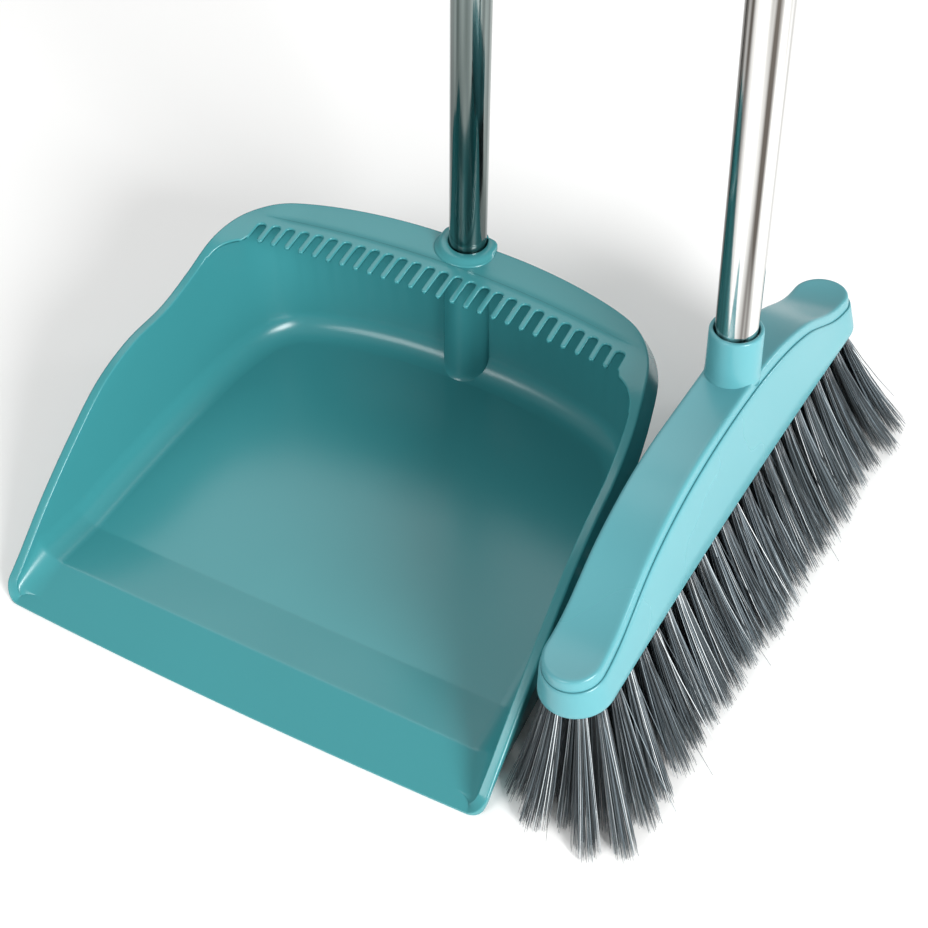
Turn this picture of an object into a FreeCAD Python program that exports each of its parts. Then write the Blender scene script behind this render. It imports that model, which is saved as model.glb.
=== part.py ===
"""Long-handled dust pan with a comb along its rear shelf, and the broom that stands beside it.

Frame: origin on the floor under the middle of the pan, +Z up, +Y from the pan's lip to its
rear wall, +X to the pan's right, where the broom stands. Millimetres.
"""
import FreeCAD, Part
import math
import os

V = FreeCAD.Vector
DOC = FreeCAD.newDocument("dust_pan_and_brush")

# ------------------------------------------------------------------ driving dimensions

DIMENSIONS = {
    # pan, in its own frame: y = 0 at the lip, z = 0 on the floor
    "pan_origin_y": 140.0,
    "pan_height": 104.0,
    "wall": 2.7,
    "rim_overhang": 3.0,
    "rim_thick": 3.0,
    "floor_top": 4.0,
    "floor_fillet": 15.0,
    "lip_half": 150.0,
    "lip_bow": 2.7,
    "ridge_y": 30.5,
    "ridge_top": 9.0,
    "ramp_end": 63.0,
    "ramp_skin": 2.6,
    "shelf_thick": 3.2,
    "comb_slots": 27,
    "comb_pitch": 8.84,
    "slot_width": 5.4,
    "comb_half": 119.0,
    "tips_side": 223.6,
    "tips_bow": 6.8,
    "roots_side": 237.0,
    "roots_bow": 13.0,
    # pan socket and handle
    "lean_back": 1.9,
    "handle_y": 274.1,
    "column_radius": 13.7,
    "boss_radius": 16.0,
    "boss_top": 107.0,
    "boss_rear": 291.0,
    "tube_radius": 11.0,
    "tube_wall": 0.7,
    "fit": 0.08,
    "plug_nose_radius": 9.0,
    "pan_nose": 30.0,
    "pan_tube_foot": 42.0,
    "pan_tube_length": 370.0,
    "insert_length": 28.0,
    "collar_radius": 11.7,
    "collar_height": 5.0,
    "screw_radius": 7.0,
    "screw_length": 24.0,
    "grip_radius": 13.2,
    "grip_sleeve": 92.0,
    "grip_crown": 34.0,
    "grip_tab": 11.0,
    "hang_radius": 5.0,
    # broom head, in its own frame: y along the head, z = 0 on its underside
    "head_length": 324.5,
    "head_half_mid": 17.8,
    "head_half_end": 19.6,
    "head_draft": 3.0,
    "cover_inset": 3.1,
    "plate_thick": 14.0,
    "head_wall": 2.6,
    "socket_offset": 29.0,
    "socket_radius": 13.9,
    "socket_height": 27.5,
    "socket_tube_depth": 40.0,
    "broom_nose": 22.0,
    "broom_tube_length": 420.0,
    "head_x": 187.5,
    "head_y": 192.7,
    "head_z": 74.3,
    "head_yaw": -4.5,
    "head_roll": -8.0,
    "handle_lean_x": -4.37,
    "handle_lean_y": 4.48,
    # bristle tufts
    "tuft_pitch": 13.0,
    "tuft_rows": 5,
    "row_spacing": 5.9,
    "tuft_radius": 2.1,
    "tuft_tip_radius": 3.4,
    "hole_depth": 12.0,
    "anchor_width": 3.4,
    "anchor_wire": 1.0,
}

SHEET = DOC.addObject("Spreadsheet::Sheet", "dims")
for row, (alias, number) in enumerate(DIMENSIONS.items(), start=1):
    SHEET.set("A%d" % row, alias)
    SHEET.set("B%d" % row, str(number))
    SHEET.setAlias("B%d" % row, alias)
DOC.recompute()


def dim(alias):
    """A driving dimension, read back from the sheet."""
    return float(SHEET.get(alias))


# ------------------------------------------------------------------ small helpers


def feature(name, shape, placement=None):
    """A free-form shape that no primitive or sketch gives."""
    made = DOC.addObject("Part::Feature", name)
    made.Shape = shape
    if placement:
        made.Placement = placement
    return made


def cylinder(name, radius, height, base=None):
    """A cylinder up +Z; radius, height and base height are expressions on the sheet."""
    made = DOC.addObject("Part::Cylinder", name)
    made.setExpression("Radius", radius)
    made.setExpression("Height", height)
    if base:
        made.setExpression("Placement.Base.z", base)
    return made


def cut(name, base, tool):
    made = DOC.addObject("Part::Cut", name)
    made.Base = base
    made.Tool = tool
    return made


def fuse(name, pieces):
    made = DOC.addObject("Part::MultiFuse", name)
    made.Shapes = pieces
    return made


def common(name, first, second):
    made = DOC.addObject("Part::MultiCommon", name)
    made.Shapes = [first, second]
    return made


def extrude(name, wire_face, direction, length):
    """A flat face pushed along one axis by an expression's length."""
    base = feature(name + "_face", wire_face)
    made = DOC.addObject("Part::Extrusion", name)
    made.Base = base
    made.DirMode = "Custom"
    made.Dir = direction
    made.setExpression("LengthFwd", length)
    made.Solid = True
    return made


def smooth(points):
    """One smooth curve through the points, as an edge."""
    curve = Part.BSplineCurve()
    curve.interpolate(points)
    return curve.toShape()


def closed_face(edges):
    """A face from smooth edges, closed by straight lines where their ends don't meet."""
    chain = []
    for index, edge in enumerate(edges):
        chain.append(edge)
        end = edge.valueAt(edge.LastParameter)
        start_next = edges[(index + 1) % len(edges)].valueAt(edges[(index + 1) % len(edges)].FirstParameter)
        if end.distanceToPoint(start_next) > 1e-6:
            chain.append(Part.makeLine(end, start_next))
    return Part.Face(Part.Wire(chain))


# ------------------------------------------------------------------ dust pan


def pan_outline(inset, front):
    """The pan's plan, inset from the rim's outer edge, with its front edge moved to y = front."""
    half = [
        V(dim("lip_half"), 0, 0),
        V(dim("lip_half") - 1, 60, 0),
        V(dim("lip_half") - 3, 120, 0),
        V(dim("lip_half") - 6.5, 172, 0),
        V(dim("lip_half") - 11, 210, 0),
        V(dim("lip_half") - 19.5, 240, 0),
        V(dim("lip_half") - 36, 260, 0),
        V(dim("lip_half") - 62, 271, 0),
        V(dim("lip_half") - 104, 279, 0),
        V(0, 281, 0),
    ]
    points = half + [V(-p.x, p.y, 0) for p in reversed(half[:-1])]
    curve = Part.BSplineCurve()
    curve.interpolate(points)
    moved = []
    for index in range(len(points)):
        parameter = curve.parameter(points[index])
        tangent = curve.tangent(parameter)[0]
        inward = V(-tangent.y, tangent.x, 0)
        moved.append(points[index] + inward * inset)
    start = V(moved[0].x, 0, 0)
    end = V(moved[-1].x, 0, 0)
    rear = smooth([start] + moved[1:-1] + [end])
    middle = V(0, front - dim("lip_bow"), 0)
    front_edge = Part.Arc(V(end.x, front, 0), middle, V(start.x, front, 0)).toShape()
    edges = [rear]
    if abs(front) > 1e-6:
        edges.append(Part.makeLine(end, V(end.x, front, 0)))
        edges.append(front_edge)
        edges.append(Part.makeLine(V(start.x, front, 0), start))
    else:
        edges.append(front_edge)
    return Part.Face(Part.Wire(edges))


def rim_edge(drop=0.0, backwards=False):
    """Height of the rim along the pan: front slope, level stretch, then up to the shelf."""
    top = dim("pan_height") - drop
    level = top - 19.5
    points = [
        V(0, -6, 1.2 - drop),
        V(0, 18, 18.5 - drop),
        V(0, 46, 40 - drop),
        V(0, 78, 61 - drop),
        V(0, 108, 77.5 - drop),
        V(0, 137, level),
        V(0, 168, level + 0.6),
        V(0, 194, level + 7.5),
        V(0, 215, top - 3.0),
        V(0, 234, top),
    ]
    if backwards:
        points.reverse()
    return smooth(points)


def side_prism(name, edges, half_width):
    """A side-view face pushed across the pan."""
    face = closed_face(edges)
    face.translate(V(-half_width, 0, 0))
    base = feature(name + "_face", face)
    made = DOC.addObject("Part::Extrusion", name)
    made.Base = base
    made.DirMode = "Custom"
    made.Dir = V(1, 0, 0)
    made.LengthFwd = 2 * half_width
    made.Solid = True
    return made


def polygon(points):
    """Straight edges through the points, closed."""
    return [Part.makeLine(a, b) for a, b in zip(points, points[1:] + points[:1])]


def comb_line(side, bow, x):
    return side + bow * (1 - (x / dim("comb_half")) ** 2)


def boss_outline(height):
    """Plan of the raised boss: round in front of the tube, squarer behind it."""
    radius = dim("boss_radius")
    corner = 8.0
    middle = 277.5
    rear = dim("boss_rear")
    bend = corner * (1 - math.sqrt(0.5))
    front = Part.Arc(V(-radius, middle, height), V(0, middle - radius, height), V(radius, middle, height))
    right = Part.Arc(V(radius, rear - corner, height), V(radius - bend, rear - bend, height),
                     V(radius - corner, rear, height))
    left = Part.Arc(V(corner - radius, rear, height), V(bend - radius, rear - bend, height),
                    V(-radius, rear - corner, height))
    return closed_face([front.toShape(), right.toShape(), left.toShape()])


def behind_comb(name, side, bow, half):
    """The shelf's slab behind a bowed line across the pan."""
    low = dim("pan_height") - dim("shelf_thick")
    far = 320.0
    line = smooth([V(x, comb_line(side, bow, x), low) for x in (-half, -half / 2, 0, half / 2, half)])
    face = closed_face([line, Part.makeLine(V(half, far, low), V(-half, far, low))])
    return extrude(name, face, V(0, 0, 1), "dims.shelf_thick")


def comb_slots():
    """Centre, tip line and root line of every slot."""
    count = int(dim("comb_slots"))
    slots = []
    for index in range(count):
        x = (index - (count - 1) / 2) * dim("comb_pitch")
        slots.append((x, comb_line(dim("tips_side"), dim("tips_bow"), x),
                      comb_line(dim("roots_side"), dim("roots_bow"), x)))
    return slots


def comb_strip():
    """Room for the comb: the slots with round roots, and the strip that the teeth stand in."""
    low = dim("pan_height") - dim("shelf_thick") - 2
    radius = dim("slot_width") / 2
    deep = dim("shelf_thick") + 4
    room = []
    slots = comb_slots()
    for x, tip, root in slots:
        slot = Part.makeBox(2 * radius, root - radius - tip + 12, deep, V(x - radius, tip - 12, low))
        room.append(slot.fuse(Part.makeCylinder(radius, deep, V(x, root - radius, low))))
    for left, right in zip(slots, slots[1:]):
        tip = min(left[1], right[1]) - 12
        root = min(left[2], right[2]) - radius
        room.append(Part.makeBox(right[0] - left[0], root - tip, deep, V(left[0], tip, low)))
    return room[0].multiFuse(room[1:])


def make_comb():
    """Round-tipped teeth that stand out of the shelf's front edge."""
    low = dim("pan_height") - dim("shelf_thick")
    thick = dim("shelf_thick")
    radius = dim("slot_width") / 2
    slots = comb_slots()
    teeth = []
    for left, right in zip(slots, slots[1:]):
        x = (left[0] + right[0]) / 2
        half = (right[0] - left[0]) / 2 - radius
        tip = comb_line(dim("tips_side"), dim("tips_bow"), x) + half
        root = min(left[2], right[2]) - radius
        stem = Part.makeBox(2 * half, root - tip, thick, V(x - half, tip, low))
        teeth.append(stem.fuse(Part.makeCylinder(half, thick, V(x, tip, low))))
    return feature("comb", Part.makeCompound(teeth),
                   FreeCAD.Placement(V(0, -dim("pan_origin_y"), 0), FreeCAD.Rotation()))


def make_pan_shell():
    span = dim("lip_half") + 15
    far = 320.0
    top = dim("pan_height")
    lift = "dims.pan_height"
    wall_outer = dim("rim_overhang")
    wall_inner = dim("rim_overhang") + dim("wall")

    # everything below the rim's edge, seen from the side
    rim = rim_edge()
    rim_end = V(0, far, top)
    under_rim = side_prism("under_rim", [
        rim,
        Part.makeLine(V(0, 234, top), rim_end),
        Part.makeLine(rim_end, V(0, far, -1)),
        Part.makeLine(V(0, far, -1), V(0, -6, -1)),
    ], span)

    # walls with the scoop taken out, its floor edges well rounded
    block = extrude("pan_block", pan_outline(wall_outer, 0.0), V(0, 0, 1), lift)
    walls = common("pan_walls", block, under_rim)
    hollow_face = pan_outline(wall_inner, -30.0)
    hollow_face.translate(V(0, 0, dim("floor_top")))
    hollow = extrude("scoop_space", hollow_face, V(0, 0, 1), lift)
    DOC.recompute()
    low_edges = []
    for number, edge in enumerate(hollow.Shape.Edges, start=1):
        box = edge.BoundBox
        if box.ZMax < dim("floor_top") + 0.01 and box.YMax > 100:
            low_edges.append((number, dim("floor_fillet"), dim("floor_fillet")))
    rounded = DOC.addObject("Part::Fillet", "scoop_space_rounded")
    rounded.Base = hollow
    rounded.Edges = low_edges
    tray = cut("pan_tray", walls, rounded)

    # the lip is ground away to a thin edge, and a low ridge keeps the dust in
    slope = (dim("ridge_top") - 1.0) / (dim("ridge_y") + 3.0)
    meet = (dim("floor_top") - 1.0) / slope - 3.0
    lip_cut = side_prism("lip_cut", polygon([
        V(0, -20, 1.0 - 17 * slope), V(0, meet, dim("floor_top")), V(0, meet, 30), V(0, -20, 30),
    ]), dim("lip_half") - wall_inner)
    tray = cut("pan_tray_with_lip", tray, lip_cut)
    ridge = side_prism("ridge", polygon([
        V(0, meet, dim("floor_top") - 0.5), V(0, meet, dim("floor_top")),
        V(0, dim("ridge_y"), dim("ridge_top")), V(0, dim("ramp_end"), dim("floor_top")),
        V(0, dim("ramp_end"), dim("floor_top") - 0.5),
    ]), dim("lip_half") - wall_inner - 0.5)
    under_ridge = side_prism("under_ridge", polygon([
        V(0, 9, -1), V(0, 12, 0.4), V(0, dim("ridge_y"), dim("ridge_top") - dim("ramp_skin")),
        V(0, dim("ramp_end") - 10, dim("floor_top") - dim("ramp_skin")), V(0, dim("ramp_end") - 6, -1),
    ]), dim("lip_half") - 16)

    # the rim: a flat strip that follows the edge and stands out past the wall
    band = side_prism("rim_band", [
        rim,
        Part.makeLine(V(0, 234, top), rim_end),
        Part.makeLine(rim_end, V(0, far, top - dim("rim_thick"))),
        Part.makeLine(V(0, far, top - dim("rim_thick")), V(0, 234, top - dim("rim_thick"))),
        rim_edge(dim("rim_thick"), backwards=True),
    ], span)
    rim_plan_outer = extrude("rim_plan_outer", pan_outline(0.0, 0.0), V(0, 0, 1), lift)
    rim_plan_inner = extrude("rim_plan_inner", pan_outline(wall_inner, -30.0), V(0, 0, 1), lift)
    ring = cut("rim_ring", rim_plan_outer, rim_plan_inner)
    flange = common("rim_flange", ring, band)

    # the shelf: its front edge is the line where the comb's teeth start
    half = dim("comb_half")
    shelf_front = behind_comb("behind_tips", dim("tips_side"), dim("tips_bow"), half + 12)
    shelf = common("shelf", shelf_front, rim_plan_outer)
    teeth_room = comb_strip()
    comb = cut("shelf_cut_for_comb", shelf, feature("comb_room", teeth_room))

    # the socket column runs down the rear wall to the floor and carries a raised boss
    lean = FreeCAD.Rotation(V(1, 0, 0), -dim("lean_back"))
    column_place = FreeCAD.Placement(V(0, dim("handle_y"), 0), lean)
    column = feature("column", Part.makeCylinder(dim("column_radius"), dim("boss_top") + 4), column_place)
    boss_bottom = top - dim("shelf_thick") - 1
    boss_shape = boss_outline(boss_bottom).extrude(V(0, 0, dim("boss_top") - boss_bottom))
    boss_piece = feature("boss", boss_shape)
    solid_pan = fuse("pan_solid", [tray, ridge, flange, comb, column, boss_piece])

    # trims: flat underside, column top, and the stepped bore for tube and plug
    box = DOC.addObject("Part::Box", "pan_room")
    box.Length = 400
    box.Width = 400
    box.setExpression("Height", "dims.boss_top")
    box.Placement.Base = V(-200, -50, 0)
    trimmed = common("pan_trimmed", solid_pan, box)
    tube_bore = Part.makeCylinder(dim("tube_radius") + dim("fit"), 120, V(0, 0, dim("pan_tube_foot")))
    nose_bore = Part.makeCylinder(dim("plug_nose_radius") + dim("fit"), 60,
                                  V(0, 0, dim("pan_tube_foot") - dim("pan_nose") - 1))
    bores = feature("socket_bores", tube_bore.fuse(nose_bore), column_place)
    hollowed = cut("pan_hollowed", trimmed, under_ridge)
    shell = cut("pan_shell_made", hollowed, bores)
    DOC.recompute()
    final = feature("pan_shell", shell.Shape.removeSplitter())
    final.Placement = FreeCAD.Placement(V(0, -dim("pan_origin_y"), 0), FreeCAD.Rotation())
    return final


# ------------------------------------------------------------------ handles


def pan_handle_place():
    lean = FreeCAD.Rotation(V(1, 0, 0), -dim("lean_back"))
    foot = V(0, dim("handle_y") - dim("pan_origin_y"), 0) + lean.multVec(V(0, 0, dim("pan_tube_foot")))
    return FreeCAD.Placement(foot, lean)


def head_place():
    turn = FreeCAD.Rotation(V(0, 0, 1), dim("head_yaw")) * FreeCAD.Rotation(V(0, 1, 0), dim("head_roll"))
    return FreeCAD.Placement(V(dim("head_x"), dim("head_y") - dim("pan_origin_y"), dim("head_z")), turn)


def broom_axis():
    x = math.tan(math.radians(dim("handle_lean_x")))
    y = math.tan(math.radians(dim("handle_lean_y")))
    axis = V(x, y, 1)
    axis.normalize()
    return axis


def broom_handle_place():
    """Foot of the broom's tube, inside the socket."""
    base = head_place().multVec(V(0, dim("socket_offset"), COVER_HEIGHTS[0]))
    mouth = base + broom_axis() * dim("socket_height")
    foot = mouth - broom_axis() * dim("socket_tube_depth")
    return FreeCAD.Placement(foot, FreeCAD.Rotation(V(0, 0, 1), broom_axis()))


def shifted(place, distance):
    """The same direction, moved along its own axis."""
    return place.multiply(FreeCAD.Placement(V(0, 0, distance), FreeCAD.Rotation()))


def make_tube(name, length, place):
    outer = cylinder(name + "_outer", "dims.tube_radius", length)
    inner = cylinder(name + "_inner", "dims.tube_radius - dims.tube_wall", length + " + 2", "-1")
    tube = cut(name, outer, inner)
    tube.Placement = place
    return tube


def make_foot_plug(name, nose, place):
    """Plug pressed into the tube's foot; its nose screws into the socket."""
    body = cylinder(name + "_body", "dims.tube_radius - dims.tube_wall", "dims.insert_length")
    tip = cylinder(name + "_nose", "dims.plug_nose_radius", nose + " + 1", "-(" + nose + ")")
    plug = fuse(name, [body, tip])
    plug.Placement = place
    return plug


def make_joint_socket(name, place):
    """Lined ring in the top of a lower tube that the upper section screws into."""
    body = cylinder(name + "_body", "dims.tube_radius - dims.tube_wall", "dims.insert_length + 1",
                    "-dims.insert_length")
    ring = cylinder(name + "_ring", "dims.collar_radius", "dims.collar_height")
    whole = fuse(name + "_solid", [body, ring])
    bore = cylinder(name + "_bore", "dims.screw_radius + dims.fit", "dims.screw_length + 1 + dims.collar_height",
                    "-dims.screw_length")
    socket = cut(name, whole, bore)
    socket.Placement = place
    return socket


def make_joint_plug(name, place):
    """Plug in the foot of an upper tube: ring, pressed body above it, screw nose below it."""
    body = cylinder(name + "_body", "dims.tube_radius - dims.tube_wall", "dims.insert_length",
                    "dims.collar_height")
    ring = cylinder(name + "_ring", "dims.collar_radius", "dims.collar_height")
    nose = cylinder(name + "_nose", "dims.screw_radius", "dims.screw_length + 1",
                    "-dims.screw_length")
    plug = fuse(name, [body, ring, nose])
    plug.Placement = place
    return plug


def make_grip(name, place):
    """Moulded end sleeve over the tube's top, flattened above it for a hanging hole."""
    sleeve_height = dim("grip_sleeve") + dim("grip_crown")
    outer = cylinder(name + "_outer", "dims.grip_radius", "dims.grip_sleeve + dims.grip_crown",
                     "-dims.grip_sleeve")
    DOC.recompute()
    domed = DOC.addObject("Part::Fillet", name + "_domed")
    domed.Base = outer
    edges = []
    for number, edge in enumerate(outer.Shape.Edges, start=1):
        if edge.BoundBox.ZMin > dim("grip_crown") - 0.1:
            edges.append((number, 9.0, 9.0))
        elif edge.BoundBox.ZMax < 0.1 - dim("grip_sleeve"):
            edges.append((number, 1.2, 1.2))
    domed.Edges = edges
    flats = []
    for side in (-1, 1):
        y = side * (dim("grip_tab") / 2 + 10)
        flat = Part.makeBox(40, 20, sleeve_height, V(-20, y - 10, 8))
        low = [e for e in flat.Edges if e.BoundBox.ZMax < 8.1 and abs(e.BoundBox.YMax - (y - side * 10)) < 0.1
               and e.BoundBox.XLength > 30]
        flats.append(flat.makeFillet(6.0, low))
    flattened = cut(name + "_flattened", domed, feature(name + "_flats", Part.makeCompound(flats)))
    hole = Part.makeCylinder(dim("hang_radius"), 40, V(0, -20, dim("grip_crown") - 13), V(0, 1, 0))
    bore = Part.makeCylinder(dim("tube_radius"), dim("grip_sleeve") + 1, V(0, 0, -dim("grip_sleeve") - 1))
    grip = cut(name, flattened, feature(name + "_holes", Part.makeCompound([hole, bore])))
    grip.Placement = place
    return grip


# ------------------------------------------------------------------ broom head

STATIONS = (0.0, 0.3, 0.55, 0.8, 1.0)
BODY_HEIGHTS = (58.0, 54.5, 43.5, 22.0, 16.6)
COVER_HEIGHTS = (63.0, 61.0, 49.5, 28.6, 23.4)


def arch(heights, extra=0.0):
    """Arched line along the head, highest in its middle and level at its ends."""
    half = dim("head_length") / 2
    points = [V(0, u * half, h + extra) for u, h in zip(STATIONS, heights)]
    points = [V(0, -p.y, p.z) for p in reversed(points[1:])] + points
    curve = Part.BSplineCurve()
    curve.interpolate(points)
    return curve.toShape()


def head_outline(inset, height):
    """Plan of the head: long sides bowed a little, round ends."""
    end = dim("head_half_end") - inset
    middle = dim("head_half_mid") - inset
    straight = dim("head_length") / 2 - dim("head_half_end")
    right = Part.Arc(V(end, -straight, height), V(middle, 0, height), V(end, straight, height)).toShape()
    far = Part.Arc(V(end, straight, height), V(0, straight + end, height), V(-end, straight, height)).toShape()
    left = Part.Arc(V(-end, straight, height), V(-middle, 0, height), V(-end, -straight, height)).toShape()
    near = Part.Arc(V(-end, -straight, height), V(0, -straight - end, height), V(end, -straight, height)).toShape()
    return Part.Wire([right, far, left, near])


def drafted(inset, low, high, draft):
    """A solid on the head's plan that narrows upwards."""
    bottom = head_outline(inset, low)
    top = head_outline(inset + draft, high)
    return Part.makeLoft([bottom, top], True)


def under_arch(name, heights, extra=0.0):
    """Everything below an arched line."""
    line = arch(heights, extra)
    half = dim("head_length") / 2
    edges = [
        line,
        Part.makeLine(V(0, half, heights[-1] + extra), V(0, half, -5)),
        Part.makeLine(V(0, half, -5), V(0, -half, -5)),
        Part.makeLine(V(0, -half, -5), V(0, -half, heights[-1] + extra)),
    ]
    return side_prism(name, edges, 40)


def socket_tool(radius, above, below):
    """A cylinder on the handle's axis, reaching above and below the cover's crown."""
    local = head_place().inverse()
    axis = local.Rotation.multVec(broom_axis())
    crown = V(0, dim("socket_offset"), COVER_HEIGHTS[0])
    return Part.makeCylinder(radius, above + below, crown - axis * below, axis)


def make_head_base():
    tall = COVER_HEIGHTS[0] + 5
    body = feature("head_block", drafted(0.0, 0.0, tall, dim("head_draft")))
    arched = common("head_arched", body, under_arch("under_body_arch", BODY_HEIGHTS))
    space = feature("head_space", drafted(dim("head_wall") + 1.4, dim("plate_thick"), tall, dim("head_draft")))
    hollowed = cut("head_hollowed", arched, space)
    holes = [Part.makeCylinder(dim("tuft_radius") + 0.05, dim("hole_depth") + 5, V(x, y, -5))
             for x, y, row in tuft_roots()]
    return cut("head_base", hollowed, feature("tuft_holes", Part.makeCompound(holes)))


def make_head_cover():
    tall = COVER_HEIGHTS[0] + 5
    slab = feature("cover_block", drafted(dim("cover_inset"), 10.0, tall, dim("head_draft") - 1.0))
    high = common("cover_high", slab, under_arch("under_cover_arch", COVER_HEIGHTS))
    ribbon = cut("cover_ribbon", high, under_arch("under_ribbon", BODY_HEIGHTS))
    tower = feature("cover_tower", socket_tool(dim("socket_radius") - 0.6, 1.0, 46.0))
    collar = feature("cover_collar", socket_tool(dim("socket_radius"), dim("socket_height"), 5.0))
    room = feature("tower_room", drafted(dim("head_wall") + 1.7, dim("plate_thick") + 1, tall, dim("head_draft")))
    tower_inside = common("tower_inside", tower, room)
    whole = fuse("cover_whole", [ribbon, tower_inside, collar])
    tube_depth = dim("socket_tube_depth") - dim("socket_height")
    nose_depth = tube_depth + dim("broom_nose") + 1
    bores = socket_tool(dim("tube_radius") + dim("fit"), 60, tube_depth)
    bores = bores.fuse(socket_tool(dim("plug_nose_radius") + dim("fit"), 10, nose_depth))
    return cut("head_cover", whole, feature("cover_bores", bores))


# ------------------------------------------------------------------ bristles


def tuft_roots():
    """Centre of every tuft hole on the underside, row by row."""
    rows = int(dim("tuft_rows"))
    roots = []
    for row in range(rows):
        x = (row - (rows - 1) / 2) * dim("row_spacing")
        reach = dim("head_length") / 2 - 8.5 - abs(x) * 0.5
        stagger = 0.5 if row % 2 else 0.0
        count = int(reach / dim("tuft_pitch") - stagger)
        for index in range(-count - (1 if stagger else 0), count + 1):
            roots.append((x, (index + stagger) * dim("tuft_pitch"), row))
    return roots


def tuft_tip(x, y):
    """Where a tuft meets the floor: pressed out to the right, held in by the pan on the left."""
    half = dim("head_length") / 2
    along = y / half
    place = head_place()
    root = place.multVec(V(x, y, 0))
    side = place.Rotation.multVec(V(1, 0, 0))
    side.z = 0
    side.normalize()
    length = place.Rotation.multVec(V(0, 1, 0))
    across = x / (2 * dim("row_spacing"))
    splay = 17 + 23 * across + 4 * along if across > 0 else 17 + 20 * across
    flare = 24 if along > 0 else 38
    tip = root + side * splay + length * (flare * along ** 3)
    tip.z = 0
    return root, tip


def ring(radius, centre, rotation):
    circle = Part.Wire([Part.makeCircle(radius)])
    circle.Placement = FreeCAD.Placement(centre, rotation)
    return circle


def make_tufts(row):
    """One row: each tuft straight in its hole, then spreading down to the floor."""
    place = head_place()
    up = place.Rotation.multVec(V(0, 0, 1))
    level = FreeCAD.Rotation(V(0, 0, 1), dim("head_yaw"))
    radius = dim("tuft_radius")
    tufts = []
    for x, y, own_row in tuft_roots():
        if own_row != row:
            continue
        root, tip = tuft_tip(x, y)
        head = root + up * (dim("hole_depth") - 1.5)
        rings = [ring(radius, head, place.Rotation), ring(radius, root, place.Rotation),
                 ring(dim("tuft_tip_radius"), tip, level)]
        tufts.append(Part.makeLoft(rings, True, True))
    return feature("bristle_row_%d" % (row + 1), Part.makeCompound(tufts))


def make_anchors():
    """Flat wire anchors that pin the tufts in their holes."""
    wide = dim("anchor_width")
    wire = dim("anchor_wire")
    low = dim("hole_depth") - 1.5
    anchors = [Part.makeBox(wire, wide, 1.2, V(x - wire / 2, y - wide / 2, low + 0.05))
               for x, y, row in tuft_roots()]
    return feature("tuft_anchors", Part.makeCompound(anchors), head_place())


# ------------------------------------------------------------------ the whole set


def make_handle(prefix, nose, length, place):
    """Two tube sections with their plugs, joint and grip."""
    total = dim(length)
    joint = shifted(place, total)
    upper = shifted(joint, dim("collar_height"))
    upper_tube = shifted(upper, dim("collar_height"))
    top = shifted(upper_tube, total)
    return [
        make_foot_plug(prefix + "_foot_plug", "dims." + nose, place),
        make_tube(prefix + "_lower_tube", "dims." + length, place),
        make_joint_socket(prefix + "_joint_socket", joint),
        make_joint_plug(prefix + "_joint_plug", upper),
        make_tube(prefix + "_upper_tube", "dims." + length, upper_tube),
        make_grip(prefix + "_grip", top),
    ]


def make_all():
    nodes = [make_pan_shell(), make_comb()]
    nodes += make_handle("pan", "pan_nose", "pan_tube_length", pan_handle_place())
    base = make_head_base()
    cover = make_head_cover()
    DOC.recompute()
    for made in (base, cover):
        made.Placement = head_place()
    nodes += [base, cover]
    nodes += [make_tufts(row) for row in range(int(dim("tuft_rows")))]
    nodes.append(make_anchors())
    nodes += make_handle("broom", "broom_nose", "broom_tube_length", broom_handle_place())
    return nodes


NODES = make_all()
for node in NODES:
    node.Label = node.Name
DOC.recompute()

for made in DOC.Objects:
    if "Invalid" in made.State or "Error" in made.State:
        raise RuntimeError("failed feature: %s" % made.Name)
os.makedirs("parts", exist_ok=True)
for node in NODES:
    if node.Shape.isNull() or not node.Shape.isValid() or not node.Shape.Solids:
        raise RuntimeError("bad shape: %s" % node.Label)
    node.Shape.exportStep("parts/%s.step" % node.Label)
    box = node.Shape.BoundBox
    print("%-20s solids %3d  volume %9.0f  x %7.1f %7.1f  y %7.1f %7.1f  z %7.1f %7.1f" % (
        node.Label, len(node.Shape.Solids), node.Shape.Volume,
        box.XMin, box.XMax, box.YMin, box.YMax, box.ZMin, box.ZMax))
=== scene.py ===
"""Long-handled dust pan with a comb, and the broom that stands at its right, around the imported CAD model."""
import math
import random

import bmesh
import bpy
from mathutils import Matrix, Vector
from mathutils.geometry import delaunay_2d_cdt


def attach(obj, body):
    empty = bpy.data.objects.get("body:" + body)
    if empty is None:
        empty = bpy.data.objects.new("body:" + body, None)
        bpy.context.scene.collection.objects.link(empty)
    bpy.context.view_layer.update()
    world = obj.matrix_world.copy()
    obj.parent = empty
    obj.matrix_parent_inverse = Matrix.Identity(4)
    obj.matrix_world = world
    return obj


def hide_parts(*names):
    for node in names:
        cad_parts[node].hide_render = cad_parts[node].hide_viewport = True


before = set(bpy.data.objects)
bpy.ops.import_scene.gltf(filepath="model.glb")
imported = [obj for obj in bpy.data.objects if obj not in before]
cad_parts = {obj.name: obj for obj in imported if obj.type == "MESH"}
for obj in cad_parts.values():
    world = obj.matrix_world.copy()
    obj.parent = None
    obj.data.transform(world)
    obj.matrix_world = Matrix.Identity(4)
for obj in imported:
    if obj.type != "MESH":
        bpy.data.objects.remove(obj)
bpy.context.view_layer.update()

MM = 0.001
SCENE = bpy.context.scene

# ------------------------------------------------------------------ driving dimensions, in mm

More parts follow.
